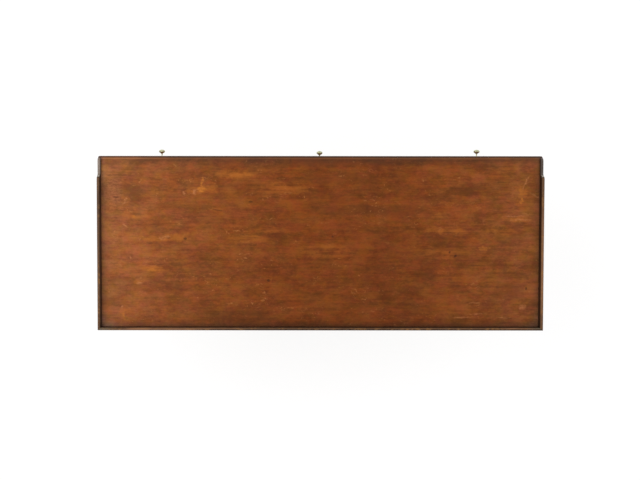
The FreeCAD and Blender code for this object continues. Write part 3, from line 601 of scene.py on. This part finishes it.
def shaded_by_gallery(graph, colour, parts):
    """The colour of the top with the shade and dust along the gallery, and browner upright faces."""
    from_back = graph.math("SUBTRACT", top_high.y - GALLERY_THICKNESS, parts["Y"])
    from_end = graph.math("SUBTRACT", top_high.x - GALLERY_THICKNESS, graph.math("ABSOLUTE", parts["X"]))
    shade = graph.fade(from_back, *BACK_SHADE_SPAN)
    colour = painted(graph, colour, BACK_SHADE, shade, BACK_SHADE_SHARE)
    level = facing_up(graph)
    dust = graph.fade(graph.math("MINIMUM", from_back, from_end), *DUST_SPAN)
    colour = graph.mix(graph.product(dust, level), colour, DUST, "MULTIPLY")
    dust = graph.fade(graph.math("ADD", from_back, from_end), *CORNER_DUST_SPAN)
    colour = graph.mix(graph.product(dust, level), colour, CORNER_DUST, "MULTIPLY")
    colour = painted(graph, colour, RIM_GREY, graph.fade(from_end, *RIM_SPAN), level, RIM_SHARE)
    return painted(graph, colour, OUTSIDE_BROWN, graph.rest(level), UPRIGHT_SHARE)


# The figure of the top as shares of its patterns, the levels between which it shows, and painted light:
# the top is painted lighter at its front and darker towards its back, between these places and by these
# shares
TOP_FIGURE_SHARES = {"bands": 0.14, "streaks": 0.18, "clouds": 0.28, "mottle": 0.20, "flecks": 0.20}
TOP_FIGURE_LEVELS = (0.38, 0.62)
FRONT_TO_BACK = (-0.14, 0.20)
FRONT_TO_BACK_PAINTED_LIGHT = (1.05, 0.955)


def make_top_wood(grain):
    """The antiqued top: its tone along the length, figure, patches, dents and darker edges, and painted
    light, highlight and shade.
    """
    graph, shader = new_material("mahogany_top")
    parts = parts_of_point(graph)
    place = grain_coordinates(graph, grain)
    figure = patterns_of(graph, place, ("pores", *TOP_FIGURE_SHARES))
    from_right = graph.math("SUBTRACT", top_high.x, parts["X"])
    from_right = graph.math("DIVIDE", from_right, top_high.x - top_low.x)
    colour = graph.ramp(from_right, TOP_TONES)
    shade = shade_of(graph, "top", figure, TOP_FIGURE_SHARES, TOP_FIGURE_LEVELS)
    # Painted light: the top lighter at its front and darker towards its back
    painted_front_light = graph.span(graph.step(parts["Y"], *FRONT_TO_BACK), *FRONT_TO_BACK_PAINTED_LIGHT)
    colour = scaled(graph, colour, graph.product(shade, painted_front_light))
    colour = tinted(graph, colour, graph.pattern(place, "drift"), REDDER, MORE_OLIVE)
    colour = tinted(graph, colour, graph.pattern(place, "warmth"), WARMER, COOLER)
    colour = marked(graph, colour, parts, place, figure, from_right)
    colour = dirty_front_and_painted_arris(graph, colour, parts, figure["clouds"])
    colour = shaded_by_gallery(graph, colour, parts)
    finish_wood(graph, shader, "top", colour, figure["pores"])
    return graph.owner


# The gallery's inside, nearly black from dirt and painted shade, and its outside, told apart by how far
# a point is past the outer faces
GALLERY_INSIDE_DIRT_AND_SHADE = srgb(46, 29, 18)
OUTSIDE_SPAN = (-0.0012, -0.0004)

# Its upper edge, in depths below its highest face, with stretches that are rubbed paler, given like
# the patches of the top, and rubbed spots
UPPER_EDGE = srgb(98, 69, 47)
UPPER_EDGE_DEPTHS = (0.0016, 0.0004)
STRETCH_RUBBED = srgb(152, 106, 74)
RUBBED_STRETCHES = (
    ((0.618, 0.307), (0.040, 0.030), 0.90, 0),
    ((0.470, 0.307), (0.160, 0.030), 0.42, 0),
    ((-0.036, 0.307), (0.030, 0.030), 0.40, 0),
    ((-0.680, 0.307), (0.045, 0.030), 0.55, 0),
    ((-0.757, 0.063), (0.030, 0.150), 0.35, 0),
)
SPOT_RUBBED = srgb(150, 104, 54)
RUB_LEVELS = (0.5, 0.64)
RUB_SHARE = 0.4

# The greyer ends of the back board, and a strip of painted shade along the rounded upper edge: where it
# lies, past the outer face of the board and along X, by the way that the board's grain runs
GREY_END = srgb(112, 106, 88)
GREY_END_SPAN = (-0.070, -0.010)
GREY_END_SHARE = 0.5
PAINTED_EDGE_SHADE = srgb(58, 38, 24)
PAINTED_EDGE_SHADE_SHARE = 0.85
PAINTED_EDGE_SHADE_STRIPS = {
    "X": ((-0.0058, -0.0042), (0.46, 0.38)),
    "Y": ((-0.0058, -0.0072), (0.0, 0.1)),
}

# The low rails and the sweeps behind them: heights over the top, distances from its front, a painted
# pale reflection on the low rail at the +X end, and a painted glint halfway up a sweep
LOW_RAIL = srgb(62, 44, 31)
LOW_RAIL_PAINTED_REFLECTION = srgb(116, 96, 80)
LOW_RAIL_HEIGHTS = (0.018, 0.013)
LOW_RAIL_ENDS = (0.080, 0.064)
LOW_RAIL_COAT_SHARE = 0.85
LOW_RAIL_COAT_ROUGHNESS = 0.16
GLINT = srgb(206, 194, 178)
GLINT_HEIGHT = 0.020
GLINT_SPAN = (0.003, 0.006)
GLINT_SHARE = 0.8


def past_outer_faces(graph, parts):
    """How far a point is past the gallery's outer faces: first the ends, then the back."""
    past_end = graph.math("SUBTRACT", graph.math("ABSOLUTE", parts["X"]), gallery_back_high.x)
    return past_end, graph.math("SUBTRACT", parts["Y"], gallery_back_high.y)


def upper_edge_rubbed_and_shaded(graph, colour, parts, place, grain):
    """The colour of the gallery with its rubbed upper edge over it, and painted shade on a strip of that
    edge.
    """
    past_end, past_back = past_outer_faces(graph, parts)
    upper = graph.step(parts["Z"], *[gallery_high.z - depth for depth in UPPER_EDGE_DEPTHS])
    colour = painted(graph, colour, UPPER_EDGE, upper)
    stretches = spots(graph, graph.point(), RUBBED_STRETCHES)
    colour = painted(graph, colour, STRETCH_RUBBED, stretches, upper)
    if grain == "X":
        ends = graph.step(past_end, *GREY_END_SPAN)
        colour = painted(graph, colour, GREY_END, ends, upper, GREY_END_SHARE)
    # Painted shade: a dark strip on one side of the rounded upper edge
    across, along = PAINTED_EDGE_SHADE_STRIPS[grain]
    strip = graph.step(past_back if grain == "X" else past_end, *across)
    strip = graph.product(strip, graph.step(parts["X"], *along))
    colour = painted(graph, colour, PAINTED_EDGE_SHADE, strip, upper, PAINTED_EDGE_SHADE_SHARE)
    rubs = graph.step(graph.pattern(place, "rubs"), *RUB_LEVELS)
    return painted(graph, colour, SPOT_RUBBED, rubs, upper, RUB_SHARE)


def low_rails_with_painted_light(graph, colour, parts, low, level):
    """The colour of the gallery with its low rails, a painted pale reflection on the one at the +X end,
    and a painted glint on the sweeps.
    """
    colour = painted(graph, colour, LOW_RAIL, low)
    front = graph.step(parts["Y"], *[top_low.y + distance for distance in LOW_RAIL_ENDS])
    right = graph.step(parts["X"], 0.0, top_high.x)
    # Painted reflection: the low rail paler towards +X
    colour = painted(graph, colour, LOW_RAIL_PAINTED_REFLECTION, low, front, right)
    # Painted glint halfway up each sweep
    climb = graph.math("ABSOLUTE", graph.math("SUBTRACT", parts["Z"], surface_height + GLINT_HEIGHT))
    return painted(graph, colour, GLINT, graph.fade(climb, *GLINT_SPAN), level, GLINT_SHARE)


def make_gallery_wood(grain):
    """The gallery: nearly black inside, where it meets the top, from dirt and painted shade, and rubbed
    brown along its upper edge, with painted shade on a strip of it. The low rail at the +X end has a
    painted pale reflection, and the sweeps a painted glint."""
    graph, shader = new_material(f"mahogany_gallery_{grain}")
    parts = parts_of_point(graph)
    place = grain_coordinates(graph, grain)
    figure = patterns_of(graph, place, FIGURE_SHARES)
    outside = graph.step(graph.math("MAXIMUM", *past_outer_faces(graph, parts)), *OUTSIDE_SPAN)
    # Nearly black inside, from dirt and painted shade, and brown outside
    colour = graph.mix(outside, GALLERY_INSIDE_DIRT_AND_SHADE, OUTSIDE_BROWN)
    colour = upper_edge_rubbed_and_shaded(graph, colour, parts, place, grain)
    level = facing_up(graph)
    low = graph.step(parts["Z"], *[surface_height + height for height in LOW_RAIL_HEIGHTS])
    low = graph.product(low, level)
    colour = low_rails_with_painted_light(graph, colour, parts, low, level)
    colour = scaled(graph, colour, shade_of(graph, "gallery", figure))
    finish_wood(graph, shader, "gallery", colour, figure["pores"])
    graph.feed(shader.inputs["Coat Weight"], graph.product(low, LOW_RAIL_COAT_SHARE))
    shader.inputs["Coat Roughness"].default_value = LOW_RAIL_COAT_ROUGHNESS
    return graph.owner


# The unpolished woods, and the slots that they fill
PLAIN_TONES = {"oak": srgb(184, 146, 98), "poplar": srgb(170, 132, 90)}
PLAIN_WOODS = {"lining_wood": "oak", "carcase_wood": "poplar"}


def make_plain_wood(wood, grain):
    """Unpolished wood: drawer linings and the parts inside the frame."""
    graph, shader = new_material(f"{wood}_{grain}")
    figure = patterns_of(graph, grain_coordinates(graph, grain), FIGURE_SHARES)
    colour = scaled(graph, PLAIN_TONES[wood], shade_of(graph, wood, figure))
    finish_wood(graph, shader, wood, colour, figure["pores"])
    return graph.owner


BRASS_DULL = srgb(166, 163, 120)
BRASS_BRIGHT = srgb(202, 203, 170)
BRASS_LEVELS = (0.35, 0.65)
BRASS_ROUGHNESS = (0.5, 0.26)
BRASS_METAL_SHARE = 0.8
POLISH_DEPTH = 0.00004
POLISH_RELIEF_SHARE = 0.2


def make_brass():
    """Aged brass, dull in patches, with the fine lines that polishing leaves."""
    graph, shader = new_material("aged_brass")
    point = graph.point()
    tarnish = graph.pattern(point, "tarnish")
    colour = graph.mix(graph.step(tarnish, *BRASS_LEVELS), BRASS_DULL, BRASS_BRIGHT)
    graph.feed(shader.inputs["Base Color"], colour)
    graph.feed(shader.inputs["Roughness"], graph.span(tarnish, *BRASS_ROUGHNESS))
    lines = graph.pattern(point, "polishing")
    inputs = {"Height": lines, "Strength": POLISH_RELIEF_SHARE, "Distance": POLISH_DEPTH}
    graph.feed(shader.inputs["Normal"], graph.add("ShaderNodeBump", inputs).outputs[0])
    shader.inputs["Metallic"].default_value = BRASS_METAL_SHARE
    return graph.owner


NYLON_DARK = srgb(196, 188, 172)
NYLON_PALE = srgb(228, 222, 208)
NYLON_ROUGHNESS = (0.45, 0.65)


def make_nylon():
    """The pale, faintly mottled plastic of the glides."""
    graph, shader = new_material("glide_nylon")
    mottle = graph.pattern(graph.point(), "plastic")
    graph.feed(shader.inputs["Base Color"], graph.mix(mottle, NYLON_DARK, NYLON_PALE))
    graph.feed(shader.inputs["Roughness"], graph.span(mottle, *NYLON_ROUGHNESS))
    return graph.owner


# The way that the grain runs in each kind of board
GRAIN_OF_PREFIX = {
    "desk_top": "X", "gallery_back": "X", "gallery_": "Y", "leg_glides": "X", "leg_": "Z",
    "back_apron": "X", "end_apron": "Y", "front_": "X", "stile": "Z", "partition": "Y",
    "knee_bracket": "X", "runners": "Y", "kickers": "Y", "drawer_guide": "Y", "drawer_stops": "X",
    "glue_blocks": "X", "drawer_front": "X", "drawer_side": "Y", "drawer_back": "X",
    "drawer_bottom": "X", "cockbead": "X", "knob": "X",
}

# What makes each finish: those with a grain, and those without
GRAINED = {"top": make_top_wood, "gallery": make_gallery_wood, "polished_wood": make_mahogany}
UNGRAINED = {"brass": make_brass, "glide_nylon": make_nylon}


def grain_of(name):
    return next(grain for prefix, grain in GRAIN_OF_PREFIX.items() if name.startswith(prefix))


def finish_of(name, slot):
    """The top and the gallery have finishes of their own, and every other node that of its slot."""
    if name == "desk_top":
        return "top"
    return "gallery" if name.startswith("gallery") else slot


def make_material(finish, grain):
    if finish in UNGRAINED:
        return UNGRAINED[finish]()
    if finish in PLAIN_WOODS:
        return make_plain_wood(PLAIN_WOODS[finish], grain)
    return GRAINED[finish](grain)


def material_for(name, slot, made):
    """The material of a node, made the first time that it is asked for."""
    key = (finish_of(name, slot), grain_of(name))
    if key not in made:
        made[key] = make_material(*key)
    return made[key]


def dress(thing, material):
    thing.data.materials.clear()
    thing.data.materials.append(material)


# The rounding of the boards' edges: how near points are one, its width and steps, and the angle from
# which an edge gets it
WELD_DISTANCE = 0.00001
EDGE_ROUND = 0.0006
EDGE_STEPS = 2
EDGE_ANGLE = math.radians(40)
UNSOFTENED_SLOTS = ("brass", "glide_nylon")


def soften_edges(thing):
    """Rounds the sharp edges of a node by modifiers alone."""
    weld = thing.modifiers.new("weld", "WELD")
    weld.merge_threshold = WELD_DISTANCE
    bevel = thing.modifiers.new("bevel", "BEVEL")
    bevel.width = EDGE_ROUND
    bevel.segments = EDGE_STEPS
    bevel.limit_method = "ANGLE"
    bevel.angle_limit = EDGE_ANGLE
    bevel.harden_normals = True


def dress_nodes(made):
    """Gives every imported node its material, and the boards softened edges."""
    slots = {part["node"]: part["material_slot"] for part in frame["record"]["subparts"]}
    for name, thing in frame["nodes"].items():
        dress(thing, material_for(name, slots[name], made))
        if slots[name] not in UNSOFTENED_SLOTS:
            soften_edges(thing)


def new_piece(name, mesh):
    thing = bpy.data.objects.new(name, mesh)
    bpy.context.scene.collection.objects.link(thing)
    return thing


# Steps in each curve of a turned profile
PROFILE_STEPS = 8


def bead(radius, bulge, low, high):
    """Profile of a half round moulding that stands out from a radius."""
    points = []
    for number in range(PROFILE_STEPS + 1):
        angle = math.pi * number / PROFILE_STEPS
        height = (low + high) / 2 - (high - low) / 2 * math.cos(angle)
        points.append((radius + bulge * math.sin(angle), height))
    return points


def cove(low_radius, high_radius, low, high):
    """Profile of a hollow quarter turn from one radius to another."""
    points = []
    for number in range(PROFILE_STEPS + 1):
        angle = math.pi / 2 * number / PROFILE_STEPS
        radius = low_radius + (high_radius - low_radius) * (1 - math.cos(angle))
        points.append((radius, low + (high - low) * math.sin(angle)))
    return points


# The turned leg, as shares of its block's width and of the height from the glide to the block
REEDS = 16
SHAFT_LOW_SHARES = (0.262, 0.074)
SHAFT_HIGH_SHARES = (0.413, 0.893)
FOOT_SHARES = (
    (0.000, 0.000), (0.200, 0.000), (0.225, 0.002), (0.235, 0.006),
    *cove(0.235, 0.315, 0.006, 0.034),
    (0.328, 0.034), (0.328, 0.038),
    *bead(0.328, 0.020, 0.038, 0.066),
    (0.328, 0.070), (0.292, 0.070), (0.272, 0.073),
)
HEAD_SHARES = (
    (0.425, 0.894), (0.440, 0.895), (0.440, 0.899),
    *bead(0.435, 0.028, 0.899, 0.921),
    (0.440, 0.925), (0.418, 0.926),
    (0.388, 0.931), (0.376, 0.938), (0.385, 0.945),
    (0.450, 0.946), (0.452, 0.951),
    *bead(0.448, 0.026, 0.953, 0.979),
    (0.448, 0.985), (0.425, 0.990), (0.430, 1.000), (0.000, 1.000),
)

# How far the reeds stand out, the share of that at the shaft's low end and what it gains up to the
# high end, the length of a reed's rounded ends, and the steps of all these curves
REED_RISE_SHARE = 0.018
REED_LOW_SHARE = 0.6
REED_GAIN_SHARE = 0.8
REED_END_SHARE = 0.014
REED_END_STEPS = 6
STEPS_PER_REED = 8
SHAFT_RINGS = 36

# The bevel of the leg's block, the angles from which edges stay sharp, and how near points are one
BLOCK_BEVEL = 0.0012
BLOCK_BEVEL_STEPS = 3
ROUND_PROFILE = 0.5
LEG_SHARP_ANGLE = math.radians(35)
KNOB_SHARP_ANGLE = math.radians(50)
MERGE_DISTANCE = 0.000001


def ring_points(radius, height, reed_rise):
    """One ring of the leg round its axis. The reeds stand out from it by their rise."""
    points = []
    count = REEDS * STEPS_PER_REED
    for number in range(count):
        angle = 2 * math.pi * number / count
        across = (number % STEPS_PER_REED) / STEPS_PER_REED * 2 - 1
        rise = reed_rise * math.sqrt(max(0.0, 1 - across * across))
        points.append(((radius + rise) * math.cos(angle), (radius + rise) * math.sin(angle), height))
    return points


def shaft_rings():
    """Rings of the reeded shaft. The reeds rise in a quarter round at each end."""
    (low_radius, low), (high_radius, high) = SHAFT_LOW_SHARES, SHAFT_HIGH_SHARES
    turns = [math.pi / 2 * number / REED_END_STEPS for number in range(REED_END_STEPS + 1)]
    heights = [low + REED_END_SHARE * (1 - math.cos(turn)) for turn in turns]
    inner = (high - low - 2 * REED_END_SHARE) / SHAFT_RINGS
    heights += [low + REED_END_SHARE + inner * (number + 1) for number in range(SHAFT_RINGS)]
    heights += [high - REED_END_SHARE * (1 - math.sin(turn)) for turn in turns[1:]]
    rings = []
    for height in heights:
        along = (height - low) / (high - low)
        radius = low_radius + (high_radius - low_radius) * along
        end = min(height - low, high - height, REED_END_SHARE) / REED_END_SHARE
        full_rise = REED_RISE_SHARE * (REED_LOW_SHARE + REED_GAIN_SHARE * along)
        rings.append((radius, height, full_rise * math.sqrt(max(0.0, 1 - (1 - end) ** 2))))
    return rings


def skin(mesh, rings):
    """Adds rings of as many points each and the faces between them, and merges points that meet."""
    previous = None
    for points in rings:
        ring = [mesh.verts.new(point) for point in points]
        if previous:
            for number in range(len(ring)):
                after = (number + 1) % len(ring)
                mesh.faces.new((previous[number], previous[after], ring[after], ring[number]))
        previous = ring
    bmesh.ops.remove_doubles(mesh, verts=mesh.verts, dist=MERGE_DISTANCE)


def piece_from(name, mesh):
    """A new piece with the faces of the mesh, which is freed."""
    data = bpy.data.meshes.new(name)
    mesh.to_mesh(data)
    mesh.free()
    return new_piece(name, data)


def smooth_by_angle(thing, angle):
    """Smooth faces, with a sharp edge wherever two meet at more than the angle."""
    thing.data.shade_smooth()
    thing.data.set_sharp_from_angle(angle=angle)


def make_leg(name, node):
    """A leg with a reeded shaft, turned mouldings and a square block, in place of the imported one."""
    low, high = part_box(node)
    width = high.x - low.x
    axis = Vector(((low.x + high.x) / 2, (low.y + high.y) / 2, 0.0))
    length = block_bottom - low.z
    rings = [(radius, height, 0.0) for radius, height in FOOT_SHARES]
    rings += shaft_rings()
    rings += [(radius, height, 0.0) for radius, height in HEAD_SHARES]
    placed = []
    for radius, height, rise in rings:
        points = ring_points(radius * width, low.z + length * height, rise * width)
        placed.append([Vector(point) + axis for point in points])
    mesh = bmesh.new()
    skin(mesh, placed)
    block = bmesh.ops.create_cube(mesh, size=1.0)["verts"]
    size = Matrix.Diagonal((width, width, high.z - block_bottom, 1.0))
    middle = Matrix.Translation(axis + Vector((0.0, 0.0, (high.z + block_bottom) / 2)))
    bmesh.ops.transform(mesh, matrix=middle @ size, verts=block)
    edges = list({edge for vert in block for edge in vert.link_edges})
    bmesh.ops.bevel(
        mesh, geom=edges, offset=BLOCK_BEVEL, segments=BLOCK_BEVEL_STEPS, profile=ROUND_PROFILE,
        affect="EDGES",
    )
    leg = piece_from(name, mesh)
    smooth_by_angle(leg, LEG_SHARP_ANGLE)
    return leg


# The knob from the drawer front out: distance as a share of its projection, and radius as a share of
# its largest radius
KNOB_SHARES = (
    (0.000, 0.44), (0.012, 0.47), (0.040, 0.47), (0.055, 0.42), (0.062, 0.31),
    (0.110, 0.215), (0.220, 0.180), (0.340, 0.170), (0.450, 0.170), (0.500, 0.190),
    (0.540, 0.250), (0.575, 0.370), (0.610, 0.530), (0.645, 0.690), (0.680, 0.820),
    (0.715, 0.920), (0.745, 0.980), (0.770, 1.000), (0.790, 0.995), (0.797, 0.970),
    (0.809, 0.970), (0.817, 0.985), (0.840, 0.965), (0.870, 0.900), (0.900, 0.805),
    (0.930, 0.680), (0.960, 0.510), (0.984, 0.330), (0.996, 0.150), (1.000, 0.000),
)
KNOB_STEM_SHARE = 0.27
KNOB_STEPS = 64


def make_knob(name, node):
    """A knob turned in fine curves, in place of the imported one."""
    low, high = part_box(node)
    front = high.y - STEM_BITE
    projection = front - low.y
    radius = (high.x - low.x) / 2
    axis = Vector(((low.x + high.x) / 2, 0.0, (low.z + high.z) / 2))
    stem = KNOB_STEM_SHARE * radius
    profile = [(0.0, STEM_BITE), (stem, STEM_BITE), (stem, 0.0)]
    profile += [(share * radius, -distance * projection) for distance, share in KNOB_SHARES]
    angles = [2 * math.pi * number / KNOB_STEPS for number in range(KNOB_STEPS)]
    rings = []
    for reach, place in profile:
        points = [(reach * math.cos(angle), front + place, reach * math.sin(angle)) for angle in angles]
        rings.append([Vector(point) + axis for point in points])
    mesh = bmesh.new()
    skin(mesh, rings)
    bmesh.ops.recalc_face_normals(mesh, faces=mesh.faces)
    knob = piece_from(name, mesh)
    smooth_by_angle(knob, KNOB_SHARP_ANGLE)
    return knob


def replace_legs(made):
    for row in ("front", "back"):
        for side in SIDES:
            node = f"leg_{row}_{side}"
            leg = make_leg(f"reeded_{node}", node)
            dress(leg, material_for(node, "polished_wood", made))
            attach(leg, "case")
            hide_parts(node)


def replace_knobs(made):
    for bay in BAYS:
        node = f"knob_{bay}"
        knob = make_knob(f"turned_{node}", node)
        dress(knob, material_for(node, "brass", made))
        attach(knob, f"drawer_{bay}")
        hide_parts(node)


def seen_directly(graph):
    """1 for rays that show the background itself: camera, mirror and see-through rays."""
    path = graph.add("ShaderNodeLightPath").outputs
    seen = graph.math("MAXIMUM", path["Is Camera Ray"], path["Is Glossy Ray"])
    return graph.math("MAXIMUM", seen, path["Is Transmission Ray"])


def make_world():
    """Soft light from all round, and plain white where it is seen."""
    world = bpy.data.worlds.new("studio")
    bpy.context.scene.world = world
    graph = Graph(world)
    soft = graph.nodes["Background"]
    soft.inputs["Color"].default_value = WHITE
    soft.inputs["Strength"].default_value = SOFT_LIGHT
    white = graph.add("ShaderNodeBackground", {"Color": WHITE, "Strength": 1.0})
    inputs = {0: seen_directly(graph), 1: soft.outputs[0], 2: white.outputs[0]}
    both = graph.add("ShaderNodeMixShader", inputs)
    graph.feed(graph.nodes["World Output"].inputs["Surface"], both.outputs[0])


# The floor as other things are lit by it, and as it is seen: a share of its own light, so that it is
# white, and one of the light on it, so that it keeps a shadow
FLOOR_TONE = (0.8, 0.8, 0.8, 1.0)
FLOOR_ROUGHNESS = 0.9
FLOOR_SHADOW_TONE = (0.34, 0.34, 0.34, 1.0)
FLOOR_GLOW_SHARE = 0.755
FLOOR_SQUARES = 4


def make_floor():
    """A white floor that keeps a faint shadow of the desk."""
    mesh = bmesh.new()
    bmesh.ops.create_grid(
        mesh, x_segments=FLOOR_SQUARES, y_segments=FLOOR_SQUARES, size=FLOOR_WIDTH / 2
    )
    floor = piece_from("studio_floor", mesh)
    graph, shader = new_material("white_floor")
    shader.inputs["Base Color"].default_value = FLOOR_TONE
    shader.inputs["Roughness"].default_value = FLOOR_ROUGHNESS
    shader.inputs["Specular IOR Level"].default_value = 0.0
    pale = graph.add("ShaderNodeBsdfDiffuse", {"Color": FLOOR_SHADOW_TONE})
    glow = graph.add("ShaderNodeEmission", {"Color": WHITE, "Strength": FLOOR_GLOW_SHARE})
    shown = graph.add("ShaderNodeAddShader", {0: pale.outputs[0], 1: glow.outputs[0]})
    inputs = {0: seen_directly(graph), 1: shader.outputs[0], 2: shown.outputs[0]}
    both = graph.add("ShaderNodeMixShader", inputs)
    graph.feed(graph.nodes["Material Output"].inputs["Surface"], both.outputs[0])
    dress(floor, graph.owner)


def make_lamps():
    for name, lamp in LAMPS.items():
        data = bpy.data.lights.new(f"{name}_lamp", "AREA")
        data.size = lamp["width"]
        data.energy = lamp["watts"]
        thing = new_piece(f"{name}_lamp", data)
        thing.location = lamp["place"]
        aim = LAMP_TARGET - thing.location
        thing.rotation_euler = aim.to_track_quat("-Z", "Y").to_euler()


def make_camera():
    data = bpy.data.cameras.new("camera")
    data.lens = LENS_MM
    data.sensor_width = SENSOR_MM
    data.shift_x, data.shift_y = CAMERA_SHIFT
    camera = new_piece("camera", data)
    camera.location = CAMERA_PLACE
    camera.rotation_euler = (-CAMERA_TILT, 0.0, CAMERA_TURN)
    bpy.context.scene.camera = camera


materials = {}
dress_nodes(materials)
replace_legs(materials)
replace_knobs(materials)
make_world()
make_floor()
make_lamps()
make_camera()
bpy.context.scene.view_settings.view_transform = "Standard"
